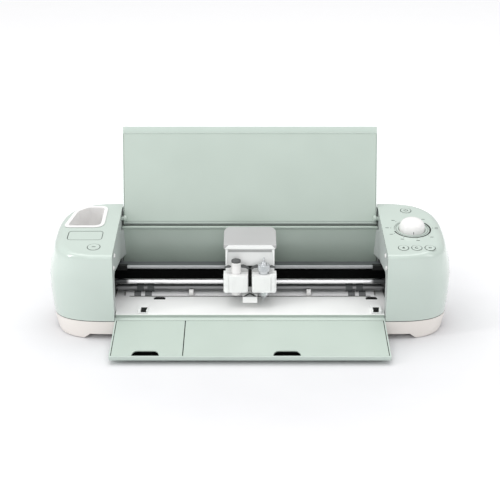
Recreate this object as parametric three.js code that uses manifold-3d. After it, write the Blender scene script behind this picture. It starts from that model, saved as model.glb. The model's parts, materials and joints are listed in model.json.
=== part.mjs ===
// Electronic die cutting machine for paper crafting. Two rounded towers stand on a pale base tray, and
// a cutting bay lies between them: a flat bed with a grit roller, a black guide beam with polished rods,
// and a carriage with two tool clamps. A lid is hinged at the back and a storage door at the front.
// Millimetres, +X to the right, -Y to the front, +Z up, z = 0 under the rubber feet.

import * as THREE from 'three';
import { mergeVertices } from 'three/addons/utils/BufferGeometryUtils.js';
import Module from 'manifold-3d';

const wasm = await Module();
wasm.setup();

// ---------------------------------------------------------------- driving dimensions
const GAP = 0.3; // air left between neighbouring pieces
const OVERALL_WIDTH = 553;
const BAY_HALF = 183; // from the middle to a tower's inner edge
const HALF_DEPTH = 80; // from the middle to the towers' front and back
const SHELL_LOW_Z = 26.6; // lower edge of the coloured shells
const DECK_FRONT_Y = -76.7; // where the sloping top starts
const DECK_FRONT_Z = 119.6;
const DECK_SLOPE = 0.168; // rise per millimetre towards the back
const SEAM = 1.1; // height of the open joint between the shells and the base
const WALL = 2.5; // moulded shell thickness

const TOWER_REACH = OVERALL_WIDTH / 2 - BAY_HALF;
const DECK_ANGLE = Math.atan(DECK_SLOPE);
const deckZ = (y) => DECK_FRONT_Z + DECK_SLOPE * (y - DECK_FRONT_Y);

// tower surface
const OUTLINE_POWER = 3; // superellipse power of the towers' plan
const OUTLINE_STEPS = 24;
const BELLY = 0.62; // share of the height where a tower is widest
const LOW_TUCK = 3.5; // how far the side draws in at the bottom
const HIGH_TUCK = 6.5; // and at the top
const FRONT_SHARE = 0.27; // the front and back draw in by this share of it
const SIDE_SHOULDER = 16; // radius of the top edge at the side
const FRONT_SHOULDER = 4.5; // and at the front and back

// lid and door, drawn shut and then turned open about their pins
const LID_PIN = { y: 53.4, z: 129.6 };
const LID_OPENING = 113; // degrees from shut to leaning back
const LID_HALF = 181.2;
const LID_THICK = 6.5;
const LID_SKIN = 2.6;
const LID_RIM = 1.3; // width of the lid's edge beside its liner
const DOOR_PIN = { y: -72.4, z: 26.8 };
const DOOR_OPENING = 101.3;
const DOOR_HALF = 182.3;
const DOOR_INNER_Y = -70.2;
const DOOR_LOW_Z = 25.4;
const DOOR_TOP_Z = 116;
const COVER_THICK = 1.8;
const COVER_SEAM_X = -87; // between the two storage covers

// cutting bay
const BED_Z = 32.6;
const BED_FRONT_Y = -69.3;
const BED_HALF = 182.6;
const BED_WING = { half: 189.4, front: -54, back: 49 }; // the bed runs on under the towers here
const ROLLER = { y: 11, z: 26, radius: 8.6 };
const PINCH = { y: 11, z: 40.6, radius: 5.1 };
const BEAM = { low: 58, high: 70.6, top: 73, back: 18, flange: 30, half: 189.6 };
const UPPER_ROD = { y: 4, z: 73.9, radius: 3 };
const LOWER_ROD = { y: 2, z: 53.5, radius: 3.3 };
const BELT = { y: 30.4, low: 60, high: 66, pulley: 6.3, inner: 6.6, outer: 8, end: 210 };
const PLATE_X = 190; // inner face of the steel side plates

// carriage
const TOOL = { x: 19, y: -33, bore: 7 }; // both tools stand this far from the carriage middle
const CLAMP = { inner: 2.6, hingeX: 31.5, hingeY: -40.5, front: -46, low: 54.5, high: 79.5 };
const FEEDER_GEAR = { teeth: 30, pinion: 12, module: 1 };

// ---------------------------------------------------------------- solids from three.js geometry
function toSolid(geometry) {
  const bare = geometry.clone();
  bare.deleteAttribute('normal');
  bare.deleteAttribute('uv');
  const welded = mergeVertices(bare, 1e-4);
  return new wasm.Manifold(new wasm.Mesh({
    numProp: 3,
    vertProperties: new Float32Array(welded.attributes.position.array),
    triVerts: new Uint32Array(welded.index.array),
  }));
}

function toGeometry(solid) {
  const mesh = solid.getMesh();
  const geometry = new THREE.BufferGeometry();
  geometry.setAttribute('position', new THREE.BufferAttribute(mesh.vertProperties, 3));
  geometry.setIndex(new THREE.BufferAttribute(mesh.triVerts, 1));
  return geometry;
}

function join(...pieces) {
  return toGeometry(pieces.map(toSolid).reduce((whole, piece) => whole.add(piece)));
}

function cut(body, ...tools) {
  return toGeometry(tools.map(toSolid).reduce((rest, tool) => rest.subtract(tool), toSolid(body)));
}

function common(first, second) {
  return toGeometry(toSolid(first).intersect(toSolid(second)));
}

// a block between two opposite corners
function block([x0, y0, z0], [x1, y1, z1]) {
  return new THREE.BoxGeometry(x1 - x0, y1 - y0, z1 - z0)
    .translate((x0 + x1) / 2, (y0 + y1) / 2, (z0 + z1) / 2);
}

function rodX(radius, x0, x1, y, z, sides = 20) {
  return new THREE.CylinderGeometry(radius, radius, x1 - x0, sides)
    .rotateZ(Math.PI / 2)
    .translate((x0 + x1) / 2, y, z);
}

function rodY(radius, y0, y1, x, z, sides = 20) {
  return new THREE.CylinderGeometry(radius, radius, y1 - y0, sides).translate(x, (y0 + y1) / 2, z);
}

function rodZ(radius, z0, z1, x, y, sides = 20) {
  return new THREE.CylinderGeometry(radius, radius, z1 - z0, sides)
    .rotateX(Math.PI / 2)
    .translate(x, y, (z0 + z1) / 2);
}

// an outline through [y, z] points, carried along X
const SIDEWAYS = new THREE.Matrix4().makeBasis(
  new THREE.Vector3(0, 1, 0),
  new THREE.Vector3(0, 0, 1),
  new THREE.Vector3(1, 0, 0),
);

function profileX(points, x0, x1, hole) {
  const shape = new THREE.Shape(points.map(([y, z]) => new THREE.Vector2(y, z)));
  if (hole) shape.holes.push(new THREE.Path(hole.map(([y, z]) => new THREE.Vector2(y, z))));
  return new THREE.ExtrudeGeometry(shape, { depth: x1 - x0, bevelEnabled: false })
    .applyMatrix4(SIDEWAYS)
    .translate(x0, 0, 0);
}

function prism(shape, z0, z1, curveSegments = 5) {
  return new THREE.ExtrudeGeometry(shape, { depth: z1 - z0, bevelEnabled: false, curveSegments })
    .translate(0, 0, z0);
}

// a polygon whose corners, [x, y, radius], are rounded off
function roundedShape(corners) {
  const shape = new THREE.Shape();
  corners.forEach(([x, y, radius], i) => {
    const corner = new THREE.Vector2(x, y);
    const [before, after] = [corners.at(i - 1), corners[(i + 1) % corners.length]].map(
      ([nx, ny]) => new THREE.Vector2(nx, ny).sub(corner).setLength(radius).add(corner),
    );
    if (i === 0) shape.moveTo(before.x, before.y);
    else shape.lineTo(before.x, before.y);
    shape.quadraticCurveTo(x, y, after.x, after.y);
  });
  shape.closePath();
  return shape;
}

// a polygon's corners moved outwards by a distance, for a counter-clockwise convex outline
function grow(corners, by) {
  return corners.map(([x, y, radius], i) => {
    const here = new THREE.Vector2(x, y);
    const [px, py] = corners.at(i - 1);
    const [nx, ny] = corners[(i + 1) % corners.length];
    const arrive = here.clone().sub(new THREE.Vector2(px, py)).normalize();
    const leave = new THREE.Vector2(nx, ny).sub(here).normalize();
    const out = new THREE.Vector2(arrive.y + leave.y, -arrive.x - leave.x).normalize();
    const stretch = by / (out.x * arrive.y - out.y * arrive.x);
    return [x + out.x * stretch, y + out.y * stretch, Math.max(radius + by, 0.5)];
  });
}

function rectangle(width, depth, radius) {
  const [w, d] = [width / 2, depth / 2];
  return [[w, -d, radius], [w, d, radius], [-w, d, radius], [-w, -d, radius]];
}

// a shape of revolution about Z through [radius, z] points, which start and end on the axis
function turned(points, sides = 28) {
  return new THREE.LatheGeometry(points.map(([r, z]) => new THREE.Vector2(r, z)), sides)
    .rotateX(Math.PI / 2);
}

// a closed skin through rings of points, each ring counter-clockwise from above, lowest ring first
function loft(rings) {
  const count = rings[0].length;
  const last = (rings.length - 1) * count;
  const index = [];
  for (let level = 0; level + 1 < rings.length; level++) {
    for (let i = 0; i < count; i++) {
      const a = level * count + i;
      const b = level * count + ((i + 1) % count);
      index.push(a, b, b + count, a, b + count, a + count);
    }
  }
  for (let i = 1; i + 1 < count; i++) {
    index.push(0, i + 1, i, last, last + i, last + i + 1);
  }
  const geometry = new THREE.BufferGeometry();
  geometry.setAttribute('position', new THREE.Float32BufferAttribute(rings.flat(2), 3));
  geometry.setIndex(index);
  return geometry;
}

function mirrored(geometry) {
  const other = geometry.clone().scale(-1, 1, 1);
  const index = other.index.array;
  for (let i = 0; i < index.length; i += 3) {
    [index[i], index[i + 1]] = [index[i + 1], index[i]];
  }
  return other;
}

// puts a piece that is drawn flat on the sloping top of a tower
function onDeck(geometry, x, y) {
  return geometry.rotateX(DECK_ANGLE).translate(x, y, deckZ(y));
}

// ---------------------------------------------------------------- scene graph and finishes
const machine = new THREE.Group();

const finish = (color, roughness, metalness = 0) => ({ color, roughness, metalness });
const MINT = finish(0xcfe0d6, 0.28);
const MINT_INNER = finish(0xc6d4cb, 0.42);
const CREAM = finish(0xf1ece6, 0.4);
const WHITE = finish(0xf4f4f2, 0.35);
const GREY = finish(0xb9bfbc, 0.5);
const COVER_GREY = finish(0xbcbcbc, 0.45);
const BLACK = finish(0x0a0b0b, 0.35);
const RUBBER = finish(0x262626, 0.9);
const BOARD = finish(0x2f6b47, 0.6);
const STEEL = finish(0xc8cacc, 0.3, 1);
const POLISHED = finish(0xe6e8ea, 0.12, 1);
const GREY_METAL = finish(0x9a9b9c, 0.35, 1);

function add(name, geometry, look, parent = machine) {
  const flat = geometry.index ? geometry.toNonIndexed() : geometry;
  const mesh = new THREE.Mesh(flat, new THREE.MeshStandardMaterial(look));
  mesh.name = name;
  parent.add(mesh);
}

// a group turned about a pin that runs along X; its pieces are drawn as if it were not turned
function hinged(pin, degrees) {
  const hinge = new THREE.Group();
  hinge.position.set(0, pin.y, pin.z);
  hinge.rotation.x = THREE.MathUtils.degToRad(degrees);
  const contents = new THREE.Group();
  contents.position.set(0, -pin.y, -pin.z);
  hinge.add(contents);
  machine.add(hinge);
  return contents;
}

// ---------------------------------------------------------------- tower shells
// One ring of a tower's surface. rise runs from 0 at the lower edge to 1 under the shoulder, and
// shoulder from 0 to 90 degrees round the top edge. wall draws the whole surface in.
function towerRing(rise, shoulder, wall, endX) {
  const share = rise < BELLY
    ? LOW_TUCK * ((BELLY - Math.max(rise, 0)) / BELLY) ** 2
    : HIGH_TUCK * ((rise - BELLY) / (1 - BELLY)) ** 2;
  const ring = [];
  for (let i = 0; i <= OUTLINE_STEPS; i++) {
    const turn = Math.PI * (i / OUTLINE_STEPS - 0.5);
    const side = Math.max(Math.cos(turn), 0);
    const round = FRONT_SHOULDER + (SIDE_SHOULDER - FRONT_SHOULDER) * side ** 2 - wall;
    const inset = wall + share * (FRONT_SHARE + (1 - FRONT_SHARE) * side ** 2)
      + round * (1 - Math.cos(shoulder));
    const x = BAY_HALF + (TOWER_REACH - inset) * side ** (2 / OUTLINE_POWER);
    const y = (HALF_DEPTH - inset) * Math.sign(Math.sin(turn))
      * Math.abs(Math.sin(turn)) ** (2 / OUTLINE_POWER);
    const under = deckZ(y) - wall - round;
    const z = SHELL_LOW_Z + rise * (under - SHELL_LOW_Z) + round * Math.sin(shoulder);
    ring.push([x, y, z]);
  }
  if (endX < BAY_HALF) {
    const [first, final] = [ring[0], ring.at(-1)];
    ring.push([endX, final[1], final[2]], [endX, first[1], first[2]]);
  }
  return ring;
}

function towerBody(wall, endX, lowestRise, turnCount) {
  const rises = [lowestRise, 0.16, 0.36, BELLY, 0.82, 1];
  const turns = Array.from({ length: turnCount }, (_, i) => ((i + 1) / turnCount) * (Math.PI / 2));
  return loft([
    ...rises.map((rise) => towerRing(rise, 0, wall, endX)),
    ...turns.map((turn) => towerRing(1, turn, wall, endX)),
  ]);
}

const plainShell = cut(towerBody(0, BAY_HALF, 0, 4), towerBody(WALL, BAY_HALF - 3, -0.1, 2));

// left tower: tool cup, flap over the port and the opening button
const CUP_CORNERS = [
  [-205.5, 4.4, 12], [-205.5, 63.5, 9], [-232, 63.5, 6], [-246, 50, 6], [-255.5, 4.4, 7],
];
const CUP_CENTRE_Y = 30;
const PORT = { x: -225.5, y: -20.2, width: 47, depth: 24.5, radius: 5 };
const OPEN_BUTTON = { x: -210, y: -52.5, radius: 8.5 };

// right tower: dial and four buttons
const DIAL = { x: 224, y: -1, recess: 24.5, ring: 18.6, knob: 17.8 };
const SMALL_BUTTONS = [
  { name: 'load_button', x: 206, y: -55, radius: 6.9 },
  { name: 'cut_button', x: 223.8, y: -55, radius: 6.9 },
  { name: 'pause_button', x: 241.6, y: -55, radius: 6.9 },
  { name: 'power_button', x: 222, y: 53.5, radius: 7.4 },
];
const REAR_SOCKETS = { z: 45, usbX: 198, powerX: 218 };
const USB_SIZE = { width: 12, height: 11 };
const POWER_RADIUS = 5.4;

const cupOutline = CUP_CORNERS.map(([x, y, r]) => [x, y - CUP_CENTRE_Y, r]);
const cupPrism = (by, z0, z1) => (
  onDeck(prism(roundedShape(grow(cupOutline, by)), z0, z1), 0, CUP_CENTRE_Y)
);
const deckHole = ({ x, y, radius }) => onDeck(rodZ(radius, -8, 4, 0, 0, 24), x, y);

// the square socket's block between two depths, grown all round
function socketBlock(y0, y1, by) {
  const [halfWide, halfHigh] = [USB_SIZE.width / 2 + by, USB_SIZE.height / 2 + by];
  return block(
    [REAR_SOCKETS.usbX - halfWide, y0, REAR_SOCKETS.z - halfHigh],
    [REAR_SOCKETS.usbX + halfWide, y1, REAR_SOCKETS.z + halfHigh],
  );
}

add('left_tower_shell', cut(
  mirrored(plainShell),
  cupPrism(GAP, -12, 6),
  onDeck(prism(roundedShape(rectangle(PORT.width, PORT.depth, PORT.radius)), -8, 4), PORT.x, PORT.y),
  deckHole(OPEN_BUTTON),
), MINT);

add('right_tower_shell', cut(
  plainShell,
  onDeck(rodZ(DIAL.recess, -9, 5, 0, 0, 40), DIAL.x, DIAL.y),
  ...SMALL_BUTTONS.map(deckHole),
  socketBlock(60, 90, GAP),
  rodY(POWER_RADIUS + 0.4, 60, 90, REAR_SOCKETS.powerX, REAR_SOCKETS.z, 24),
), MINT);

// ---------------------------------------------------------------- base tray and feet
const TRAY_TOP = SHELL_LOW_Z - SEAM;
const TRAY_LOW = 7.5;
const TRAY_FLOOR = 10;
const POD_LOW = 0.6; // underside of the moulded feet
// tray surface as [z, how far it is drawn in at the side, and at the front and back]
const SKIRT = [
  [POD_LOW, 12, 2.2], [1.6, 9.5, 1.7], [5, 8, 1.5], [14, 5.8, 1.4], [TRAY_TOP, 3.5, 1.2],
];
const HOLLOW = [[TRAY_FLOOR, 10.5, 4.2], [14, 9, 4], [TRAY_TOP + 4, 6.5, 3.8]];
const POD_DEPTH = 46; // front to back of the moulded feet
const FOOT = { radius: 7, height: 1.6 };
const FOOT_PLACES = [
  ['front_left_foot', -236, -53],
  ['front_right_foot', 236, -53],
  ['rear_left_foot', -236, 53],
  ['rear_right_foot', 236, 53],
];

function trayRing(z, sideInset, frontInset) {
  const right = [];
  for (let i = 0; i <= OUTLINE_STEPS; i++) {
    const turn = Math.PI * (i / OUTLINE_STEPS - 0.5);
    const side = Math.max(Math.cos(turn), 0);
    const front = Math.sign(Math.sin(turn)) * Math.abs(Math.sin(turn)) ** (2 / OUTLINE_POWER);
    const drawn = frontInset + (sideInset - frontInset) * side ** 2;
    right.push([
      BAY_HALF + (TOWER_REACH - drawn) * side ** (2 / OUTLINE_POWER),
      (HALF_DEPTH - drawn) * front,
      z,
    ]);
  }
  const left = right.toReversed().map(([x, y]) => [-x, y, z]);
  return [...right, ...left];
}

// the moulded feet, four blocks whose inner ends slope up to the tray's underside
function trayPods() {
  const outline = [
    [-300, TRAY_LOW], [-217, TRAY_LOW], [-221.5, 4], [-227, POD_LOW - 1], [-300, POD_LOW - 1],
  ];
  const shape = new THREE.Shape(outline.map(([x, z]) => new THREE.Vector2(x, z)));
  const left = new THREE.ExtrudeGeometry(shape, { depth: POD_DEPTH, bevelEnabled: false })
    .rotateX(Math.PI / 2);
  const right = left.clone().rotateZ(Math.PI).translate(0, -POD_DEPTH, 0);
  return [-36, 82].flatMap((backY) => [
    left.clone().translate(0, backY, 0),
    right.clone().translate(0, backY, 0),
  ]);
}

function baseTray() {
  const skirt = loft(SKIRT.map(([z, side, front]) => trayRing(z, side, front)));
  const body = common(skirt, join(block([-300, -90, TRAY_LOW], [300, 90, 60]), ...trayPods()));
  const hollow = loft(HOLLOW.map(([z, side, front]) => trayRing(z, side, front)));
  const doorRoom = block([-BED_HALF, -95, -2], [BED_HALF, BED_FRONT_Y, 60]);
  const frontWall = block(
    [-BED_HALF - 3, BED_FRONT_Y, TRAY_LOW],
    [BED_HALF + 3, BED_FRONT_Y + 3, TRAY_TOP],
  );
  const cheeks = [-1, 1].map((side) => {
    const x = side * (BED_HALF + 1.5);
    return block([x - 1.5, -75, TRAY_LOW], [x + 1.5, BED_FRONT_Y + 3, TRAY_TOP]);
  });
  const footRecesses = FOOT_PLACES.map(([, x, y]) => (
    rodZ(FOOT.radius + 0.4, -1, FOOT.height + GAP, x, y)
  ));
  const pinRoom = [-1, 1].map((side) => {
    const x = side * (BAY_HALF + 1.2);
    return rodX(2, x - 2.2, x + 2.2, DOOR_PIN.y, DOOR_PIN.z, 16);
  });
  return cut(join(cut(body, hollow, doorRoom), frontWall, ...cheeks), ...footRecesses, ...pinRoom);
}

add('base_tray', baseTray(), CREAM);
for (const [name, x, y] of FOOT_PLACES) {
  add(name, rodZ(FOOT.radius, 0, FOOT.height, x, y), RUBBER);
}

// ---------------------------------------------------------------- side panels and steel plates
const PANEL_THICK = 2;
const PLATE_THICK = 1.5;
const beltOpening = (x0, x1) => block(
  [x0, BELT.y - BELT.outer - 1, BELT.low - 1.5],
  [x1, BELT.y + BELT.outer + 1, BELT.high + 1.5],
);

// The bay's side wall: an arch over the beam and rods, with a splayed corner at its back.
function innerPanel() {
  const top = (y) => deckZ(y) - WALL - 0.5;
  const low = SHELL_LOW_Z + 0.2;
  const outline = [
    [-74.6, low], [-54.5, low], [-54.5, 83], [-48, 86.6], [8.5, 79.4], [50, 77], [50, low], [74.6, low],
    [74.6, top(74) - 3.4], [71.5, top(71.5)], [-71.5, top(-71.5)], [-74.6, top(-74.6) - 3.4],
  ];
  const [x0, x1] = [BAY_HALF + 0.6, BAY_HALF + 0.6 + PANEL_THICK];
  const corner = loft([
    [[x0 + 1, 49.2, 77.4], [178.2, 49.2, 77.4], [x0 + 1, 24, 77.4]],
    [[x0 + 1, 49.2, 114.8], [180.6, 49.2, 114.8], [x0 + 1, 40, 114.8]],
  ]);
  return cut(
    join(profileX(outline, x0, x1), corner),
    ...[[LID_PIN, 3.4], [DOOR_PIN, 1.9]].map(([{ y, z }, radius]) => (
      rodX(radius, x0 - 1, x1 + 1, y, z, 16)
    )),
  );
}

function sidePlate() {
  const outline = [[-50, TRAY_FLOOR + 0.4], [60, TRAY_FLOOR + 0.4], [60, 112], [20, 112], [-50, 96]];
  const [x0, x1] = [PLATE_X, PLATE_X + PLATE_THICK];
  return cut(
    profileX(outline, x0, x1),
    beltOpening(x0 - 1, x1 + 1),
    rodX(4.4, x0 - 1, x1 + 1, ROLLER.y, ROLLER.z, 16),
    rodX(3.4, x0 - 1, x1 + 1, PINCH.y, PINCH.z, 16),
    rodX(7, x0 - 1, x1 + 1, -30, 82, 16),
  );
}

for (const [side, place] of [['left', mirrored], ['right', (geometry) => geometry]]) {
  add(`${side}_inner_panel`, place(innerPanel()), GREY);
  add(`${side}_side_plate`, place(sidePlate()), STEEL);
}

// ---------------------------------------------------------------- rear cover and bed
// Two upright walls joined by a web: the lid's back edge drops between them when it opens.
const REAR_OUTLINE = [
  [49.5, 46], [76.4, 46], [76.4, 134], [75.3, 138.6], [72.6, 141], [70.9, 141],
  [70.9, 139], [73.9, 136], [73.9, 100.5], [52, 100.5],
  [52, 116.6], [52.8, 118], [51.6, 119.6], [48.6, 119.5], [47.4, 118.6], [47.3, 116.6], [49.5, 115.2],
];
const REAR_TUNNEL = [[52, 48.5], [73.9, 48.5], [73.9, 98], [52, 98]];
add('rear_cover', profileX(REAR_OUTLINE, -BED_HALF, BED_HALF, REAR_TUNNEL), MINT_INNER);

const ROLLER_SLOT = { half: 178, front: -1.6, back: 23.6 };
const BED_POCKETS = [[-127, -9.6], [170.6, -9.6]];
const BED_POCKET = { half: 8.3, depthHalf: 5.2, deep: 1.6 };

function matBed() {
  const low = TRAY_TOP + GAP;
  const outline = [
    [BED_FRONT_Y, low], [BED_FRONT_Y, BED_Z - 1.4], [BED_FRONT_Y + 0.5, BED_Z - 0.4],
    [BED_FRONT_Y + 1.5, BED_Z],
    [72.5, BED_Z], [74.2, BED_Z - 1.2], [74.2, low], [71.8, low], [71.8, BED_Z - WALL],
    [BED_FRONT_Y + 2.4, BED_Z - WALL], [BED_FRONT_Y + 2.4, low],
  ];
  const wings = block(
    [-BED_WING.half, BED_WING.front, BED_Z - WALL],
    [BED_WING.half, BED_WING.back, BED_Z],
  );
  return cut(
    join(profileX(outline, -BED_HALF, BED_HALF), wings),
    block([-ROLLER_SLOT.half, ROLLER_SLOT.front, 20], [ROLLER_SLOT.half, ROLLER_SLOT.back, 40]),
    ...BED_POCKETS.map(([x, y]) => block(
      [x - BED_POCKET.half, y - BED_POCKET.depthHalf, BED_Z - BED_POCKET.deep],
      [x + BED_POCKET.half, y + BED_POCKET.depthHalf, 40],
    )),
  );
}
add('mat_bed', matBed(), WHITE);

const GUIDE = { leftX: -146, rightX: 172, y: -56, high: 5 };

// A low hook that keeps the mat's edge down: the mat slides through the notch on its inner side.
function matGuide() {
  const corners = [[7, -11], [7, 9], [-3, 12], [-7, 12], [-7, -11]];
  const outline = roundedShape(corners.map(([x, y]) => [x, y, 1.5]));
  const notch = block([-8, -3.5, 1.4], [1.5, 3.5, 3.4]);
  return cut(prism(outline, 0, GUIDE.high, 3), notch);
}
add('left_mat_guide', mirrored(matGuide()).translate(GUIDE.leftX, GUIDE.y, BED_Z + GAP), WHITE);
add('right_mat_guide', matGuide().translate(GUIDE.rightX, GUIDE.y, BED_Z + GAP), WHITE);

// ---------------------------------------------------------------- guide beam, rods and rollers
const BEAM_OUTLINE = [
  [0, BEAM.low], [BEAM.back, BEAM.low], [BEAM.back, 69.5], [BEAM.flange, 69.5],
  [BEAM.flange, BEAM.top], [9, BEAM.top], [9, BEAM.high], [0, BEAM.high],
];
add('guide_beam', profileX(BEAM_OUTLINE, -BEAM.half, BEAM.half), BLACK);
for (const [name, rod] of [['upper_rod', UPPER_ROD], ['lower_rod', LOWER_ROD]]) {
  add(name, rodX(rod.radius, -BEAM.half, BEAM.half, rod.y, rod.z, 24), POLISHED);
}

// fingers in front of the grit roller that lead the mat in under the pinch shaft
const CLIP_OUTLINE = [
  [-1.2, 10.4], [1.9, 10.4], [1.9, 33], [4.7, 37.4], [4.7, 41], [1.6, 41.4], [-1.2, 39.2],
];
const CLIP = { x: 83, half: 3.2 };
for (const [name, x] of [['left_roller_clip', -CLIP.x], ['right_roller_clip', CLIP.x]]) {
  add(name, profileX(CLIP_OUTLINE, x - CLIP.half, x + CLIP.half), WHITE);
}

// lengthwise profile of a roller as [x, radius] steps, turned about X
function turnedX(steps, y, z, sides = 24) {
  const points = [[0, steps[0][0]], ...steps.map(([x, radius]) => [radius, x]), [0, steps.at(-1)[0]]];
  return turned(points, sides).rotateY(Math.PI / 2).translate(0, y, z);
}
const stepsOf = (bands) => bands.flatMap(([x0, x1, radius]) => [[x0, radius], [x1, radius]]);

const GRIT_MIDDLES = [-159.2, -144, 144, 159.2];
const GRIT_HALF = 4.9;
const BARREL_HALF = 176; // the roller's full-size part, between its two journals
const JOURNAL = 4;
const barrel = [];
let reached = -BARREL_HALF;
for (const middle of GRIT_MIDDLES) {
  barrel.push([reached, middle - GRIT_HALF, ROLLER.radius]);
  barrel.push([middle - GRIT_HALF, middle + GRIT_HALF, ROLLER.radius + 0.2]);
  reached = middle + GRIT_HALF;
}
barrel.push([reached, BARREL_HALF, ROLLER.radius]);
add('drive_roller', turnedX(stepsOf([
  [-202, -BARREL_HALF, JOURNAL], ...barrel, [BARREL_HALF, 193, JOURNAL],
]), ROLLER.y, ROLLER.z, 20), POLISHED);

add('pinch_shaft', turnedX(stepsOf([
  [-193, -187, 3], [-187, 187, PINCH.radius], [187, 193, 3],
]), PINCH.y, PINCH.z, 16), GREY_METAL);

// ---------------------------------------------------------------- feeder gears, pulleys, belt, motors
const TOOTH_SHARE = 0.78; // thins the teeth so that a pair meshes with air between them

function gear(teeth, thick, boreRadius) {
  const pitch = (teeth * FEEDER_GEAR.module) / 2;
  const shape = new THREE.Shape();
  const corners = [[-0.42, -1.15], [-0.2, 0.75], [0.2, 0.75], [0.42, -1.15]]; // [share, height]
  for (let tooth = 0; tooth < teeth; tooth++) {
    for (const [share, height] of corners) {
      const turn = ((tooth + share * TOOTH_SHARE) * 2 * Math.PI) / teeth;
      const radius = pitch + height * FEEDER_GEAR.module;
      const [y, z] = [radius * Math.cos(turn), radius * Math.sin(turn)];
      if (tooth === 0 && share === corners[0][0]) shape.moveTo(y, z);
      else shape.lineTo(y, z);
    }
  }
  shape.closePath();
  const bore = new THREE.Path();
  bore.absarc(0, 0, boreRadius, 0, 2 * Math.PI);
  shape.holes.push(bore);
  return new THREE.ExtrudeGeometry(shape, { depth: thick, bevelEnabled: false, curveSegments: 8 })
    .applyMatrix4(SIDEWAYS);
}

const PINION_Y = ROLLER.y - ((FEEDER_GEAR.teeth + FEEDER_GEAR.pinion) * FEEDER_GEAR.module) / 2;
const GEAR_X = -201;
const GEAR_THICK = 6;
const driveGear = gear(FEEDER_GEAR.teeth, GEAR_THICK, JOURNAL + GAP);
const pinion = gear(FEEDER_GEAR.pinion, GEAR_THICK, 1.8).rotateX(Math.PI / FEEDER_GEAR.pinion);
add('drive_gear', driveGear.translate(GEAR_X, ROLLER.y, ROLLER.z), WHITE);
add('roller_pinion', pinion.translate(GEAR_X, PINION_Y, ROLLER.z), STEEL);
add('roller_motor', join(
  rodX(14, -232, -205, PINION_Y, ROLLER.z, 24),
  rodX(1.5, -206, -196, PINION_Y, ROLLER.z, 12),
), STEEL);

add('carriage_motor', join(
  rodZ(16.5, 14, 52, BELT.end, BELT.y, 28),
  rodZ(2, 50, 67, BELT.end, BELT.y, 12),
), STEEL);
const pulleyLine = [
  [0, 0], [8.6, 0], [8.6, 1.2], [BELT.pulley, 1.6], [BELT.pulley, 8.4], [8.6, 8.8], [8.6, 10], [0, 10],
];
for (const [name, x] of [['motor_pulley', BELT.end], ['idler_pulley', -BELT.end]]) {
  const pulley = cut(turned(pulleyLine, 20), rodZ(2.3, -1, 11, 0, 0, 12));
  add(name, pulley.translate(x, BELT.y, BELT.low - 2), STEEL);
}

function beltLoop() {
  const half = BELT.end;
  const outside = new THREE.Shape();
  const inside = new THREE.Path();
  for (const [path, radius] of [[outside, BELT.outer], [inside, BELT.inner]]) {
    path.moveTo(-half, -radius);
    path.lineTo(half, -radius);
    path.absarc(half, 0, radius, -Math.PI / 2, Math.PI / 2);
    path.lineTo(-half, radius);
    path.absarc(-half, 0, radius, Math.PI / 2, 1.5 * Math.PI);
  }
  outside.holes.push(inside);
  return prism(outside, BELT.low, BELT.high, 10).translate(0, BELT.y, 0);
}
add('drive_belt', beltLoop(), RUBBER);

// ---------------------------------------------------------------- boards and sockets
const BOARD_Z = 13;
const BOARD_THICK = 1.6;
const boardLegs = [[-80, -58], [-80, -12], [40, -58], [40, -12]].map(([x, y]) => (
  rodZ(2.5, TRAY_FLOOR + 0.4, BOARD_Z, x, y, 8)
));
add('main_board', join(
  block([-86, -63, BOARD_Z], [46, -7, BOARD_Z + BOARD_THICK]),
  ...boardLegs,
), BOARD);
add('panel_board', onDeck(block([-18, -64, -18.5], [24, 58, -17]), DIAL.x, DIAL.y), BOARD);

const { powerX, z: socketZ } = REAR_SOCKETS;
add('usb_socket', cut(socketBlock(62, 79.2, 0), socketBlock(66, 90, -1.3)), STEEL);
add('power_socket', cut(
  rodY(POWER_RADIUS, 62, 79.6, powerX, socketZ, 24),
  rodY(POWER_RADIUS - 2, 66, 90, powerX, socketZ, 16),
), BLACK);

// ---------------------------------------------------------------- left tower top
const CUP_DEPTH = 46;
add('tool_cup', cut(
  join(cupPrism(3, GAP, 1.3), cupPrism(0, -CUP_DEPTH, 1)),
  cupPrism(-2, 2 - CUP_DEPTH, 4),
), WHITE);

const well = (by, z0, z1) => prism(roundedShape(rectangle(PORT.width + by, PORT.depth + by, 3)), z0, z1, 2);
add('port_well', onDeck(cut(well(6, -24, -WALL - GAP), well(3, -22, 0)), PORT.x, PORT.y), GREY);

const FLAP_THICK = 2;
const flapOutline = roundedShape(grow(rectangle(PORT.width, PORT.depth, PORT.radius), -GAP));
add('port_flap', onDeck(prism(flapOutline, -FLAP_THICK, 0), PORT.x, PORT.y), MINT);

// a round cap with a stem that reaches down to its switch
const buttonCap = (radius) => join(rodZ(radius - GAP, -5, 0.7, 0, 0, 24), rodZ(2, -14, -4, 0, 0, 10));
add('open_button', onDeck(buttonCap(OPEN_BUTTON.radius), OPEN_BUTTON.x, OPEN_BUTTON.y), MINT);

// ---------------------------------------------------------------- right tower top
for (const { name, x, y, radius } of SMALL_BUTTONS) {
  add(name, onDeck(buttonCap(radius), x, y), MINT);
}
const ringLine = [
  [0, -8], [DIAL.recess - 0.4, -8], [DIAL.recess - 0.4, -0.4], [DIAL.ring, -0.4],
  [DIAL.ring - 0.2, -5.5], [0, -5.5],
];
add('dial_ring', onDeck(cut(turned(ringLine, 36), rodZ(4.4, -9, 0, 0, 0, 16)), DIAL.x, DIAL.y), MINT);
const knobLine = [
  [0, -15], [4, -15], [4, -4.8], [DIAL.knob, -4.8], [DIAL.knob, 3], [17.2, 6.4], [15.6, 9.6],
  [12.6, 12.4], [8.4, 14.2], [4, 15], [0, 15.2],
];
add('dial_knob', onDeck(turned(knobLine, 36), DIAL.x, DIAL.y), WHITE);

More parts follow.
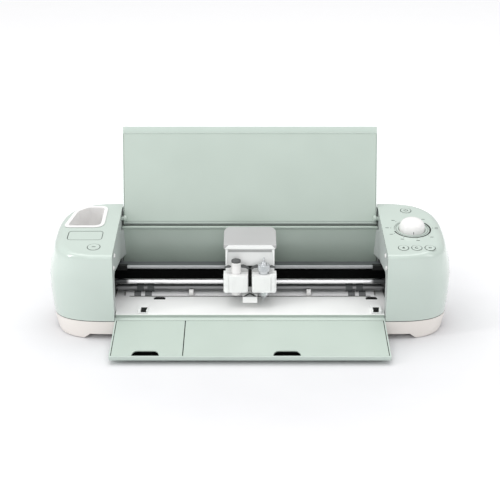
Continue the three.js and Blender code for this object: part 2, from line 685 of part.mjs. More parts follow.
// ---------------------------------------------------------------- lid
const lid = hinged(LID_PIN, -LID_OPENING);
const under = (y, depth) => [y, deckZ(y) - depth];
const LID_STEP_Y = -67.7; // the lid is a thin flange in front of this line
add('lid_shell', cut(
  profileX([
    under(-77.2, LID_SKIN), under(LID_STEP_Y, LID_SKIN),
    under(LID_STEP_Y, LID_THICK), under(60, LID_THICK),
    under(66, 2.2), under(65.4, 0.8), under(63.8, 0), under(-76, 0), under(-77.4, 0.9),
  ], -LID_HALF, LID_HALF),
  profileX([
    under(LID_STEP_Y + LID_RIM, LID_THICK + 1), under(57.5, LID_THICK + 1),
    under(57.5, LID_SKIN), under(LID_STEP_Y + LID_RIM, LID_SKIN),
  ], -LID_HALF + LID_RIM, LID_HALF - LID_RIM),
), MINT, lid);

const linerEnd = LID_HALF - LID_RIM - GAP;
const linerFrontY = LID_STEP_Y + LID_RIM + GAP;
const lidEars = [-1, 1].flatMap((side) => {
  const across = (x0, x1) => [Math.min(side * x0, side * x1), Math.max(side * x0, side * x1)];
  const [e0, e1] = across(176.2, 179.5);
  const [p0, p1] = across(177, 186);
  return [
    rodX(4.6, e0, e1, LID_PIN.y, LID_PIN.z, 16),
    block([e0, LID_PIN.y - 4, LID_PIN.z], [e1, LID_PIN.y + 3, deckZ(LID_PIN.y) - LID_THICK + 1]),
    rodX(2.9, p0, p1, LID_PIN.y, LID_PIN.z, 16),
  ];
});
add('lid_liner', join(
  profileX([
    under(linerFrontY, LID_THICK), under(57.2, LID_THICK),
    under(57.2, LID_THICK - 2), under(linerFrontY, LID_THICK - 2),
  ], -linerEnd, linerEnd),
  ...lidEars,
), MINT_INNER, lid);

// ---------------------------------------------------------------- storage door
const door = hinged(DOOR_PIN, DOOR_OPENING);
const DOOR_OUTLINE = [
  [DOOR_INNER_Y, DOOR_LOW_Z], [-77.6, DOOR_LOW_Z], [-79, 45], [-79.7, 75], [-79.2, 98],
  [-78.4, 110], [-77, 114.4], [-74.6, DOOR_TOP_Z], [DOOR_INNER_Y, DOOR_TOP_Z],
];
const POCKET_FLOOR_Y = -77;
const POCKETS = [
  { name: 'left_storage_cover', x0: -176.5, x1: COVER_SEAM_X - 1, notch: -135.5 },
  { name: 'right_storage_cover', x0: COVER_SEAM_X + 1, x1: 176.5, notch: 48 },
];
const POCKET_LOW_Z = 36;
const POCKET_HIGH_Z = 111.8;
const COVER_LOW_Z = 33.4;
const COVER_HIGH_Z = 113;
const COVER_END_X = 179.6;
const COVER_SIDE_GAP = 0.9;
const COVER_SEAM = 1.2; // open joint between the two covers
add('door_shell', join(
  cut(
    profileX(DOOR_OUTLINE, -DOOR_HALF, DOOR_HALF),
    ...POCKETS.map(({ x0, x1 }) => block([x0, POCKET_FLOOR_Y, POCKET_LOW_Z], [x1, -60, POCKET_HIGH_Z])),
    block(
      [-COVER_END_X - COVER_SIDE_GAP, DOOR_INNER_Y - COVER_THICK - GAP, COVER_LOW_Z - 0.4],
      [COVER_END_X + COVER_SIDE_GAP, -60, COVER_HIGH_Z + GAP],
    ),
  ),
  ...[-1, 1].map((side) => {
    const ends = [side * 178, side * 185.4].sort((a, b) => a - b);
    return rodX(1.5, ...ends, DOOR_PIN.y, DOOR_PIN.z, 12);
  }),
), MINT, door);

const FINGER_NOTCH = { half: 18, deep: 10.8 };
function storageCover(x0, x1, notchX) {
  const shape = new THREE.Shape();
  shape.moveTo(x0, COVER_LOW_Z);
  shape.lineTo(x1, COVER_LOW_Z);
  shape.lineTo(x1, COVER_HIGH_Z);
  shape.lineTo(notchX + FINGER_NOTCH.half, COVER_HIGH_Z);
  const notchFloor = COVER_HIGH_Z - FINGER_NOTCH.deep;
  shape.quadraticCurveTo(notchX + 16.5, notchFloor, notchX + 10.5, notchFloor);
  shape.lineTo(notchX - 10.5, notchFloor);
  shape.quadraticCurveTo(notchX - 16.5, notchFloor, notchX - FINGER_NOTCH.half, COVER_HIGH_Z);
  shape.lineTo(x0, COVER_HIGH_Z);
  shape.closePath();
  return new THREE.ExtrudeGeometry(shape, { depth: COVER_THICK, bevelEnabled: false, curveSegments: 8 })
    .rotateX(Math.PI / 2)
    .translate(0, DOOR_INNER_Y, 0);
}
for (const { name, x0, x1, notch } of POCKETS) {
  const left = x0 < COVER_SEAM_X ? -COVER_END_X : COVER_SEAM_X + COVER_SEAM / 2;
  const right = x1 < COVER_SEAM_X ? COVER_SEAM_X - COVER_SEAM / 2 : COVER_END_X;
  add(name, storageCover(left, right, notch), MINT_INNER, door);
}

// ---------------------------------------------------------------- carriage
const COVER_DROP = 8; // the carriage's cover lies this far under the level of the deck
const carriageTop = (y, depth = 0) => [y, deckZ(y) - COVER_DROP - depth];
const CARRIAGE_HALF = 36;
const rearCorners = [-1, 1].map((side) => prism(new THREE.Shape([
  new THREE.Vector2(side * (CARRIAGE_HALF - 7), 22), new THREE.Vector2(side * (CARRIAGE_HALF + 1), 22),
  new THREE.Vector2(side * (CARRIAGE_HALF + 1), 8), new THREE.Vector2(side * CARRIAGE_HALF, 10),
  new THREE.Vector2(side * (CARRIAGE_HALF - 2.2), 17),
]), 90, 150));
add('carriage_cover', cut(
  profileX([
    carriageTop(-31.4, 5.6), carriageTop(21.5, 5.6), carriageTop(21.5),
    carriageTop(-30.4), carriageTop(-31.4, 1),
  ], -CARRIAGE_HALF, CARRIAGE_HALF),
  profileX([carriageTop(-29.4, 7), carriageTop(19.5, 7), carriageTop(19.5, 2), carriageTop(-29.4, 2)],
    -CARRIAGE_HALF + 2, CARRIAGE_HALF - 2),
  ...rearCorners,
), COVER_GREY);

const CARRIAGE_FACE_Y = -24.2;
const BODY_HALF = 33.6;
const carriageBody = cut(
  join(
    profileX([
      [CARRIAGE_FACE_Y, 78], [-3.5, 78], [8.7, 78], [34, 84], carriageTop(34, 14),
      carriageTop(18.8, 10.5), carriageTop(18.8, 2.4), carriageTop(-28.7, 2.4),
      carriageTop(-28.7, 7), carriageTop(CARRIAGE_FACE_Y, 11),
    ], -BODY_HALF, BODY_HALF),
    block([-BODY_HALF, CARRIAGE_FACE_Y, 50], [BODY_HALF, -3.5, 80]),
    block([-25, -4.5, 49.6], [25, 6.1, BEAM.low - GAP]),
    block([-25, -4.5, BEAM.high + GAP], [25, 8.7, 80]),
    block([-12, 31, BELT.low - 1], [12, 33.5, 90]),
    block([-10, -46.6, 40.4], [10, -20, 50.4]),
    block([-10, -22, 40.4], [10, -10, 55]),
  ),
  rodX(UPPER_ROD.radius + GAP, -40, 40, UPPER_ROD.y, UPPER_ROD.z, 24),
  rodX(LOWER_ROD.radius + GAP, -40, 40, LOWER_ROD.y, LOWER_ROD.z, 24),
);
add('carriage_body', carriageBody, WHITE);
add('belt_clamp', block([-9, 33.8, BELT.low - 0.5], [9, BELT.y + BELT.inner - GAP, BELT.high + 0.5]), GREY);

// a tool holder on the carriage's right; the left one is its mirror image
function toolHolder() {
  const { inner, hingeX, hingeY, low, high } = CLAMP;
  return cut(
    join(
      block([inner, TOOL.y + 0.2, low], [36.2, CARRIAGE_FACE_Y - GAP, high]),
      block([hingeX + 0.4, hingeY, low], [36.2, TOOL.y + 1, high]),
      rodZ(4.5, low, high, hingeX, hingeY, 20),
    ),
    rodZ(TOOL.bore, low - 1, high + 1, TOOL.x, TOOL.y, 24),
  );
}

function clampLever() {
  const { inner, hingeX, hingeY, front, low, high } = CLAMP;
  const face = roundedShape([
    [28.6, TOOL.y - 0.2, 0.6], [inner, TOOL.y - 0.2, 0.6], [inner, front, 4], [28.6, front, 1.6],
  ]);
  return cut(
    prism(face, low + 0.6, high - 0.6, 4),
    rodZ(TOOL.bore, low - 1, high + 1, TOOL.x, TOOL.y, 24),
    rodZ(4.8, low - 1, high + 1, hingeX, hingeY, 20),
    block([24, TOOL.y - 2.8, low - 1], [30, TOOL.y + 1, high + 1]),
  );
}

add('accessory_holder', mirrored(toolHolder()), WHITE);
add('accessory_clamp', mirrored(clampLever()), WHITE);
add('blade_holder', toolHolder(), WHITE);
add('blade_clamp', clampLever(), WHITE);

const adapterLine = [[0, 48], [6, 48], [6.6, 49], [6.6, 91], [6.6, 97.6], [5.8, 98.8], [0, 98.8]];
add('accessory_adapter', turned(adapterLine, 24).translate(-TOOL.x, TOOL.y, 0), WHITE);
const BLADE_TIP_Z = 37.4;
const housingLine = [
  [0, BLADE_TIP_Z], [0.5, 38.6], [0.6, 42], [2.6, 42], [5.2, 47], [6.6, 47.6], [6.6, 82.6], [8.2, 82.6],
  [8.2, 91], [7.4, 92], [4.2, 92.6], [4, 95], [1.2, 95.4], [1.2, 101.5], [0, 101.5],
];
add('blade_housing', turned(housingLine, 24).translate(TOOL.x, TOOL.y, 0), STEEL);

// ---------------------------------------------------------------- origin
// The origin is the middle of the footprint of the open machine, on the surface it stands on.
const reach = new THREE.Box3().setFromObject(machine, true);
machine.position.y = -(reach.min.y + reach.max.y) / 2;

export default machine;
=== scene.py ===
"""Looks of an electronic die cutting machine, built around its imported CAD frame.

Two glossy mint towers stand on a warm white base. Between them lies the cutting bay, with a white bed,
a grit roller, two polished rods on a black beam, and a carriage with two tool clamps.
Lengths are in millimetres in the machine's own frame and turned to metres by at() and mm.
"""

import json
from math import atan, cos, pi, radians, sin

import bpy
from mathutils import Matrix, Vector

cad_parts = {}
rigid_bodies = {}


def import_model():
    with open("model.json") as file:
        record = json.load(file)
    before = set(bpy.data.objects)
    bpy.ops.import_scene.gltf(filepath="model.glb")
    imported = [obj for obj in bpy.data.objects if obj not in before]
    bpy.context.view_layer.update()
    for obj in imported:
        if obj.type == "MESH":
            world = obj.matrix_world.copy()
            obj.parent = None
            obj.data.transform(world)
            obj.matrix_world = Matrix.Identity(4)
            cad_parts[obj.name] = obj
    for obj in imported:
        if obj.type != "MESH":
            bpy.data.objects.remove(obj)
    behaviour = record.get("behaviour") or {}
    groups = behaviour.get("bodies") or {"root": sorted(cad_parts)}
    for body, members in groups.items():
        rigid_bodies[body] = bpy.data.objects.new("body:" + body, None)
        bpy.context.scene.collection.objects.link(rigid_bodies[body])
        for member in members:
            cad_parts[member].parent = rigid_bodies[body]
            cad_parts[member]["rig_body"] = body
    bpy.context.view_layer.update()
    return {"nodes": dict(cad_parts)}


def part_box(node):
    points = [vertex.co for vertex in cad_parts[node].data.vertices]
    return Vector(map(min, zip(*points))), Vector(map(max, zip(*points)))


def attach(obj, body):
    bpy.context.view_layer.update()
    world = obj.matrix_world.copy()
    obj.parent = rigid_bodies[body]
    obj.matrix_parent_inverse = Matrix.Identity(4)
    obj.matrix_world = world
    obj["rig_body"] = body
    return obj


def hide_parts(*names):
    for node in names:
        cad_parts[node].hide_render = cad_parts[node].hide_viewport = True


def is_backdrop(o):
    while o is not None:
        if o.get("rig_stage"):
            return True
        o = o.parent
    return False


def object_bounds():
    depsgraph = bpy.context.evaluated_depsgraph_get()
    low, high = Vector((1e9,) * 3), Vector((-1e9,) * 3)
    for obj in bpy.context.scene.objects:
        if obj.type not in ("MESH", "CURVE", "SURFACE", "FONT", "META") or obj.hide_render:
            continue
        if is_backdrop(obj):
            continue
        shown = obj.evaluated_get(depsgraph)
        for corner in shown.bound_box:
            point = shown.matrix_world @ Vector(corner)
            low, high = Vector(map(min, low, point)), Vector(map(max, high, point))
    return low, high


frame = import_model()
scene = bpy.context.scene
scene.view_settings.view_transform = "Standard"

mm = 0.001

# The towers' middle, front to back, is where the machine's own y is 0.
low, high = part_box("left_tower_shell")
MIDDLE_Y = (low.y + high.y) / 2

BAY_HALF = 183.0  # half the width of the bay between the towers
HALF_DEPTH = 80.0  # half the towers' depth
TOWER_REACH = 93.5  # from the bay's edge to a tower's side
DECK_FRONT = (-76.7, 119.6)  # y and z where the towers' sloping top starts
DECK_SLOPE = 0.168
DECK_ANGLE = atan(DECK_SLOPE)
INK_TOP = 0.1  # thickness of printed marks
SYMBOL = (0.4, 0.62)  # heights between which a key's symbol stands, over its dished top
TOOL_X, TOOL_Y = 19, -33  # a tool's axis, on either side of the carriage's middle
TOOL_RADIUS = 6.6
CLAMP_FRONT_Y = -46
HINGE_X, HINGE_Y = 31.5, -40.5  # a clamp lever's pin
CARRIAGE_FRONT_Y = -24.1  # just inside the carriage's front face
PINCH_Y, PINCH_Z = 11, 40.6  # the pinch shaft's axis
SIDES = (("left", -1), ("right", 1))


def at(x, y, z):
    """A point of the machine's own frame, in the row frame."""
    return Vector((x * mm, MIDDLE_Y + y * mm, z * mm))


def deck_z(y):
    """Height of the towers' sloping top."""
    front_y, front_z = DECK_FRONT
    return front_z + DECK_SLOPE * (y - front_y)


# ------------------------------------------------------------------ colours and nodes
def linear(hex_colour, alpha=1.0):
    """sRGB hex to linear RGBA."""
    channels = []
    for start in (1, 3, 5):
        value = int(hex_colour[start:start + 2], 16) / 255
        channels.append(value / 12.92 if value <= 0.04045 else ((value + 0.055) / 1.055) ** 2.4)
    return (*channels, alpha)


def add_node(tree, kind, settings=None, inputs=None):
    """Adds a node, sets its properties, and fills its inputs with values or other nodes' outputs."""
    made = tree.nodes.new("ShaderNode" + kind)
    for name, value in (settings or {}).items():
        setattr(made, name, value)
    for name, value in (inputs or {}).items():
        if isinstance(value, bpy.types.NodeSocket):
            tree.links.new(value, made.inputs[name])
        else:
            made.inputs[name].default_value = value
    return made


def shade_stops(ramp, stops):
    """Sets a colour ramp's stops, each (place, hex colour)."""
    elements = ramp.color_ramp.elements
    while len(elements) < len(stops):
        elements.new(0.5)
    for element, (place, colour) in zip(elements, stops):
        element.position = place
        element.color = linear(colour)


def blank_material(name):
    material = bpy.data.materials.new(name)
    material.use_nodes = True
    material.node_tree.nodes.clear()
    return material, material.node_tree


def moulded(name, light, dark, roughness, grain, relief, coat=0.0, patch=60, specular=0.5):
    """Injection-moulded plastic. Its colour drifts very slightly over patches, and its skin carries
    the mould's fine grain. grain, relief and patch are in millimetres."""
    material, tree = blank_material(name)
    place = add_node(tree, "TexCoord").outputs["Object"]
    drift = add_node(tree, "TexNoise", {}, {
        "Vector": place, "Scale": 1 / (patch * mm), "Detail": 2.0, "Roughness": 0.4})
    tint = add_node(tree, "ValToRGB", {}, {"Fac": drift.outputs["Fac"]})
    shade_stops(tint, [(0.3, dark), (0.7, light)])
    skin = add_node(tree, "TexNoise", {}, {
        "Vector": place, "Scale": 1 / (grain * mm), "Detail": 3.0, "Roughness": 0.6})
    gloss = add_node(tree, "MapRange", {}, {
        "Value": skin.outputs["Fac"], "From Min": 0.25, "From Max": 0.75,
        "To Min": roughness * 0.88, "To Max": roughness * 1.12})
    bump = add_node(tree, "Bump", {}, {
        "Height": skin.outputs["Fac"], "Strength": 0.6, "Distance": relief * mm})
    shader = add_node(tree, "BsdfPrincipled", {}, {
        "Base Color": tint.outputs["Color"], "Roughness": gloss.outputs["Result"],
        "Normal": bump.outputs["Normal"], "IOR": 1.5, "Specular IOR Level": specular,
        "Coat Weight": coat, "Coat Roughness": 0.12})
    add_node(tree, "OutputMaterial", {}, {"Surface": shader.outputs["BSDF"]})
    return material


def drawn_metal(name, light, dark, roughness, line, stretch, relief):
    """Metal with fine lines along one axis, from drawing, brushing or turning. line is the spacing
    of the lines in millimetres and stretch the scale along X, Y and Z."""
    material, tree = blank_material(name)
    place = add_node(tree, "TexCoord").outputs["Object"]
    along = add_node(tree, "Mapping", {}, {"Vector": place, "Scale": stretch})
    lines = add_node(tree, "TexNoise", {}, {
        "Vector": along.outputs["Vector"], "Scale": 1 / (line * mm), "Detail": 4.0, "Roughness": 0.6})
    tint = add_node(tree, "ValToRGB", {}, {"Fac": lines.outputs["Fac"]})
    shade_stops(tint, [(0.3, dark), (0.7, light)])
    gloss = add_node(tree, "MapRange", {}, {
        "Value": lines.outputs["Fac"], "From Min": 0.25, "From Max": 0.75,
        "To Min": roughness * 0.8, "To Max": roughness * 1.25})
    bump = add_node(tree, "Bump", {}, {
        "Height": lines.outputs["Fac"], "Strength": 0.4, "Distance": relief * mm})
    shader = add_node(tree, "BsdfPrincipled", {}, {
        "Base Color": tint.outputs["Color"], "Metallic": 1.0, "Roughness": gloss.outputs["Result"],
        "Normal": bump.outputs["Normal"]})
    add_node(tree, "OutputMaterial", {}, {"Surface": shader.outputs["BSDF"]})
    return material


# ------------------------------------------------------------------ materials
# Gloss ABS, moulded in a polished tool: soft broad highlights and an almost even pale mint.
mint_gloss = moulded("abs_mint_gloss", "#c2cfc7", "#bfccc4", 0.24, 0.9, 0.003, coat=0.8)
# ABS from a finely sparked tool: the inner faces of the lid and the storage covers, a little duller.
mint_satin = moulded("abs_mint_satin", "#bbc8bf", "#b7c4bb", 0.36, 0.7, 0.008, coat=0.2)
# The same ABS on the rear cover, painted darker all over: painted shade of the bay it lines.
mint_rear_painted_shade = moulded("abs_mint_rear_cover_painted_shade", "#a6b3aa", "#a1aea5", 0.3, 0.7, 0.006, coat=0.3)
# Warm white ABS of the base, satin.
cream = moulded("abs_cream_base", "#ebe6e1", "#e7e1dc", 0.38, 0.8, 0.006, coat=0.1)
# White ABS of the bed, the carriage and the small fittings, satin with a faint sparkle of grain.
white_satin = moulded("abs_white_satin", "#f5f6f5", "#f1f2f1", 0.36, 0.6, 0.01, coat=0.1)
# White polycarbonate blend of the dial and the cup's rim, polished.
white_gloss = moulded("pc_white_gloss", "#efeeed", "#ebeae9", 0.22, 0.9, 0.004, coat=0.3)
# Grey ABS of the bay's side walls and the port's well, matt.
grey_matt = moulded("abs_grey_matt", "#bcc2c0", "#b6bdba", 0.5, 0.7, 0.012)
# Light grey ABS of the carriage's cover, finely grained; the same grey paints the shade in the recess under
# the fascia.
grey_cover_and_painted_shade = moulded("abs_grey_carriage_cover_and_painted_shade", "#b3b3b3", "#adadad", 0.45, 0.5, 0.014)
# Dark grey ABS: the adapter's cap and the holders' spring arms.
grey_dark = moulded("abs_dark_grey", "#5a5c5c", "#525454", 0.4, 0.5, 0.01)
# Black ABS of the sockets; the same black is painted shade in the slots, the seals, the door's pockets, the
# dial's arc and the hood's edges.
black_and_painted_shade = moulded("abs_black_and_painted_shade", "#0d0e0d", "#080908", 0.55, 0.6, 0.02, specular=0.3)
# Printing ink on the plastic, a dark green grey, dull; it also draws the painted shade lines round the
# keys.
ink_and_painted_shade = moulded("screen_ink_and_painted_shade_grey_green", "#2f3833", "#29312d", 0.6, 0.3, 0.003, specular=0.3)
# Nitrile rubber: deep grey, dull, with a fine tooth.
rubber = moulded("nitrile_rubber_black", "#2b2c2d", "#222324", 0.78, 0.4, 0.03, specular=0.35)
rubber_grey = moulded("polyurethane_tyre_grey", "#5d6061", "#4e5152", 0.7, 0.4, 0.03, specular=0.35)
# Anodised aluminium, black: a fine even grain and a low sheen.
anodised = moulded("anodised_aluminium_black", "#030404", "#020202", 0.35, 0.8, 0.003, specular=0.03)
# The same extrusion's top, painted lighter grey: a painted sheen where its faces look up to the light.
anodised_painted_top_sheen = moulded("anodised_aluminium_painted_top_sheen", "#55585a", "#484b4c", 0.4, 0.8, 0.003, specular=0.35)
# The steel of the side plates, coloured near black: painted shade of the machine's dark inside.
side_plate_painted_shade = moulded("steel_side_plate_painted_shade", "#1a1b1b", "#141515", 0.5, 0.5, 0.02, specular=0.3)
# Satin-turned aluminium of the pinch shaft, the motor cans and the carriage's hood.
satin_shaft = drawn_metal("aluminium_satin_turned", "#98999a", "#88898a", 0.5, 0.8, (6.0, 1.0, 1.0), 0.004)
# The upper guide shaft, hard-coated aluminium: light grey and satin.
coated_shaft = drawn_metal(
    "aluminium_hard_coated_shaft", "#9fa1a2", "#8f9192", 0.42, 0.8, (0.3, 1.0, 1.0), 0.002)
# Zinc-plated steel of the pinion, the pulleys, the USB shell and the screws.
zinc_steel = drawn_metal("steel_zinc_plated", "#c9ccce", "#aeb2b5", 0.38, 1.2, (1.0, 0.2, 1.0), 0.006)
# Turned and clear-anodised aluminium of the blade housing.
turned_bright = drawn_metal(
    "aluminium_turned_bright", "#e2e4e6", "#c2c5c8", 0.24, 0.5, (0.3, 0.3, 3.0), 0.004)


def polished_rod():
    """Ground and chromed steel shafting. The middle is mirror bright, and from 168 mm out the ends are
    rougher and painted dark grey, a painted reflection of the dark side walls."""
    material, tree = blank_material("steel_chromed_shaft_painted_reflection")
    place = add_node(tree, "TexCoord").outputs["Object"]
    axis = add_node(tree, "SeparateXYZ", {}, {"Vector": place})
    reach = add_node(tree, "Math", {"operation": "ABSOLUTE"}, {0: axis.outputs["X"]})
    ends = add_node(tree, "MapRange", {"interpolation_type": "SMOOTHSTEP"}, {
        "Value": reach.outputs["Value"], "From Min": 168 * mm, "From Max": 175 * mm})
    tint = add_node(tree, "ValToRGB", {}, {"Fac": ends.outputs["Result"]})
    shade_stops(tint, [(0.0, "#fbfbfc"), (1.0, "#5a5c5d")])
    gloss = add_node(tree, "MapRange", {}, {
        "Value": ends.outputs["Result"], "To Min": 0.28, "To Max": 0.45})
    shader = add_node(tree, "BsdfPrincipled", {}, {
        "Base Color": tint.outputs["Color"], "Metallic": 0.8, "Roughness": gloss.outputs["Result"]})
    add_node(tree, "OutputMaterial", {}, {"Surface": shader.outputs["BSDF"]})
    return material


def gritted_roller():
    """Ground steel roller with four bands of bonded carbide grit, about 0.25 mm a grain."""
    material, tree = blank_material("steel_roller_with_grit_bands")
    place = add_node(tree, "TexCoord").outputs["Object"]
    axis = add_node(tree, "SeparateXYZ", {}, {"Vector": place})
    reach = add_node(tree, "Math", {"operation": "ABSOLUTE"}, {0: axis.outputs["X"]})
    pair_x, band_off, band_half = 151.6 * mm, 7.6 * mm, 4.9 * mm
    from_pair = add_node(tree, "Math", {"operation": "SUBTRACT"}, {0: reach.outputs["Value"], 1: pair_x})
    aside = add_node(tree, "Math", {"operation": "ABSOLUTE"}, {0: from_pair.outputs["Value"]})
    from_band = add_node(tree, "Math", {"operation": "SUBTRACT"}, {0: aside.outputs["Value"], 1: band_off})
    off = add_node(tree, "Math", {"operation": "ABSOLUTE"}, {0: from_band.outputs["Value"]})
    band = add_node(tree, "Math", {"operation": "LESS_THAN"}, {0: off.outputs["Value"], 1: band_half})
    grains = add_node(tree, "TexVoronoi", {}, {"Vector": place, "Scale": 1 / (0.6 * mm)})
    grit = add_node(tree, "ValToRGB", {}, {"Fac": grains.outputs["Distance"]})
    shade_stops(grit, [(0.0, "#5a5c5d"), (0.6, "#8e9091")])
    tint = add_node(tree, "MixRGB", {}, {
        "Fac": band.outputs["Value"], "Color1": linear("#fafafb"), "Color2": grit.outputs["Color"]})
    gloss = add_node(tree, "MapRange", {}, {"Value": band.outputs["Value"], "To Min": 0.45, "To Max": 0.75})
    height = add_node(tree, "Math", {"operation": "MULTIPLY"}, {
        0: grains.outputs["Distance"], 1: band.outputs["Value"]})
    bump = add_node(tree, "Bump", {}, {
        "Height": height.outputs["Value"], "Strength": 0.8, "Distance": 0.12 * mm})
    shader = add_node(tree, "BsdfPrincipled", {}, {
        "Base Color": tint.outputs["Color"], "Metallic": 0.25, "Roughness": gloss.outputs["Result"],
        "Normal": bump.outputs["Normal"]})
    add_node(tree, "OutputMaterial", {}, {"Surface": shader.outputs["BSDF"]})
    return material


def circuit_board():
    """Glass-fibre board under green solder mask, with copper tracks about 1 mm wide showing through."""
    material, tree = blank_material("fibreglass_board_green")
    place = add_node(tree, "TexCoord").outputs["Object"]
    tracks = add_node(tree, "TexBrick", {"offset": 0.5}, {
        "Vector": place, "Color1": linear("#2f6f4b"), "Color2": linear("#2a6645"),
        "Mortar": linear("#4c8f66"), "Scale": 60.0, "Mortar Size": 0.04})
    shader = add_node(tree, "BsdfPrincipled", {}, {
        "Base Color": tracks.outputs["Color"], "Roughness": 0.35, "IOR": 1.5})
    add_node(tree, "OutputMaterial", {}, {"Surface": shader.outputs["BSDF"]})
    return material


def studio_floor():
    """White paper sweep. A painted glow grows in it from 0.2 m to 0.75 m from the middle, leaving a painted
    shadow near the machine.
    """
    material, tree = blank_material("paper_sweep_painted_glow")
    place = add_node(tree, "TexCoord").outputs["Object"]
    fibre = add_node(tree, "TexNoise", {}, {"Vector": place, "Scale": 12.0, "Detail": 3.0})
    tint = add_node(tree, "ValToRGB", {}, {"Fac": fibre.outputs["Fac"]})
    shade_stops(tint, [(0.3, "#e2e2e4"), (0.7, "#e4e4e6")])
    away = add_node(tree, "VectorMath", {"operation": "LENGTH"}, {0: place})
    painted_glow = add_node(tree, "MapRange", {"interpolation_type": "SMOOTHSTEP"}, {
        "Value": away.outputs["Value"], "From Min": 200 * mm, "From Max": 750 * mm, "To Max": 0.45})
    shader = add_node(tree, "BsdfPrincipled", {}, {
        "Base Color": tint.outputs["Color"], "Roughness": 0.85, "Specular IOR Level": 0.2,
        "Emission Color": linear("#ffffff"), "Emission Strength": painted_glow.outputs["Result"]})
    add_node(tree, "OutputMaterial", {}, {"Surface": shader.outputs["BSDF"]})
    return material


chromed = polished_rod()
roller_steel = gritted_roller()
board_green = circuit_board()


# ------------------------------------------------------------------ modelling helpers
def select_only(*pieces):
    bpy.ops.object.select_all(action="DESELECT")
    for piece in pieces:
        piece.select_set(True)
    bpy.context.view_layer.objects.active = pieces[0]


def edit_all():
    bpy.ops.object.mode_set(mode="EDIT")
    bpy.ops.mesh.select_all(action="SELECT")


def leave_edit():
    bpy.ops.object.mode_set(mode="OBJECT")


def apply_place(piece):
    select_only(piece)
    bpy.ops.object.transform_apply(location=True, rotation=True, scale=True)


def soften(piece, edge, segments=2, crease=35):
    """Rounds the sharp edges by edge millimetres and smooths the curved faces."""
    select_only(piece)
    if edge:
        bevel = piece.modifiers.new("edges", "BEVEL")
        bevel.width = edge * mm
        bevel.segments = segments
        bevel.limit_method = "ANGLE"
        bevel.angle_limit = radians(crease)
        bevel.use_clamp_overlap = True
        bpy.ops.object.modifier_apply(modifier=bevel.name)
    bpy.ops.object.shade_smooth_by_angle(angle=radians(40))
    even = piece.modifiers.new("even", "WEIGHTED_NORMAL")
    even.keep_sharp = True
    bpy.ops.object.modifier_apply(modifier=even.name)


def finish(piece, name, body, material, replaces=()):
    """Names a finished piece, paints it and lets it ride on its body."""
    piece.name = name
    piece.data.name = name
    piece.data.materials.clear()
    piece.data.materials.append(material)
    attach(piece, body)
    if replaces:
        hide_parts(*replaces)
    return piece


def refine(node, material, edge=0.4, segments=2):
    """A copy of a CAD piece with clean faces and softened edges, shown in its place."""
    source = frame["nodes"][node]
    piece = bpy.data.objects.new(node + "_skin", source.data.copy())
    scene.collection.objects.link(piece)
    select_only(piece)
    edit_all()
    bpy.ops.mesh.remove_doubles(threshold=0.004 * mm)
    bpy.ops.mesh.dissolve_limited(angle_limit=radians(0.4))
    leave_edit()
    soften(piece, edge, segments)
    return finish(piece, node + "_skin", source["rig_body"], material, [node])


def slab(points, bottom, top):
    """A flat plate between two heights, through corners given counter-clockwise as [x, y]."""
    bpy.ops.object.select_all(action="DESELECT")
    bpy.ops.mesh.primitive_circle_add(vertices=len(points), radius=mm, fill_type="NGON")
    piece = bpy.context.object
    for corner, (x, y) in zip(piece.data.vertices, points):
        corner.co = (x * mm, y * mm, bottom * mm)
    edit_all()
    bpy.ops.mesh.extrude_region_move(TRANSFORM_OT_translate={"value": (0, 0, (top - bottom) * mm)})
    bpy.ops.mesh.select_all(action="SELECT")
    bpy.ops.mesh.normals_make_consistent(inside=False)
    leave_edit()
    return piece


def turned(profile, sides=64):
    """A turned piece about Z. The profile is [radius, height] from the lowest end to the highest."""
    bpy.ops.object.select_all(action="DESELECT")
    radius, height = profile[0]
    bpy.ops.mesh.primitive_circle_add(
        vertices=sides, radius=radius * mm, fill_type="NGON", location=(0, 0, height * mm))
    piece = bpy.context.object
    edit_all()
    for next_radius, next_height in profile[1:]:
        bpy.ops.mesh.extrude_region_move(
            TRANSFORM_OT_translate={"value": (0, 0, (next_height - height) * mm)})
        scale = next_radius / radius
        bpy.ops.transform.resize(value=(scale, scale, 1), center_override=(0, 0, next_height * mm))
        radius, height = next_radius, next_height
    bpy.ops.mesh.select_all(action="SELECT")
    bpy.ops.mesh.normals_make_consistent(inside=False)
    leave_edit()
    apply_place(piece)
    return piece


def arc_strip(inner, outer, start, sweep, bottom, top, steps=24):
    """A flat ring segment between two radii, spun from one edge about Z."""
    bpy.ops.object.select_all(action="DESELECT")
    bpy.ops.mesh.primitive_plane_add(size=2 * mm)
    piece = bpy.context.object
    first, second, third, fourth = piece.data.vertices
    turn = radians(start)
    first.co = third.co = (inner * mm * cos(turn), inner * mm * sin(turn), bottom * mm)
    second.co = fourth.co = (outer * mm * cos(turn), outer * mm * sin(turn), bottom * mm)
    edit_all()
    bpy.ops.mesh.remove_doubles(threshold=0.001 * mm)
    bpy.ops.mesh.select_all(action="SELECT")
    bpy.ops.mesh.spin(steps=steps, angle=-radians(sweep), center=(0, 0, bottom * mm), axis=(0, 0, 1))
    bpy.ops.mesh.select_all(action="SELECT")
    bpy.ops.mesh.remove_doubles(threshold=0.001 * mm)
    bpy.ops.mesh.select_all(action="SELECT")
    bpy.ops.mesh.extrude_region_move(TRANSFORM_OT_translate={"value": (0, 0, (top - bottom) * mm)})
    bpy.ops.mesh.select_all(action="SELECT")
    bpy.ops.mesh.normals_make_consistent(inside=False)
    leave_edit()
    return piece


def placed(piece, x, y, z=0.0, turn=(0, 0, 0)):
    """Puts a piece that was made about the origin at its place in the machine."""
    piece.rotation_euler = turn
    piece.location = at(x, y, z)
    apply_place(piece)
    return piece


def on_deck(piece, x, y):
    """Puts a piece that was made flat on the towers' sloping top."""
    return placed(piece, x, y, deck_z(y), (DECK_ANGLE, 0, 0))


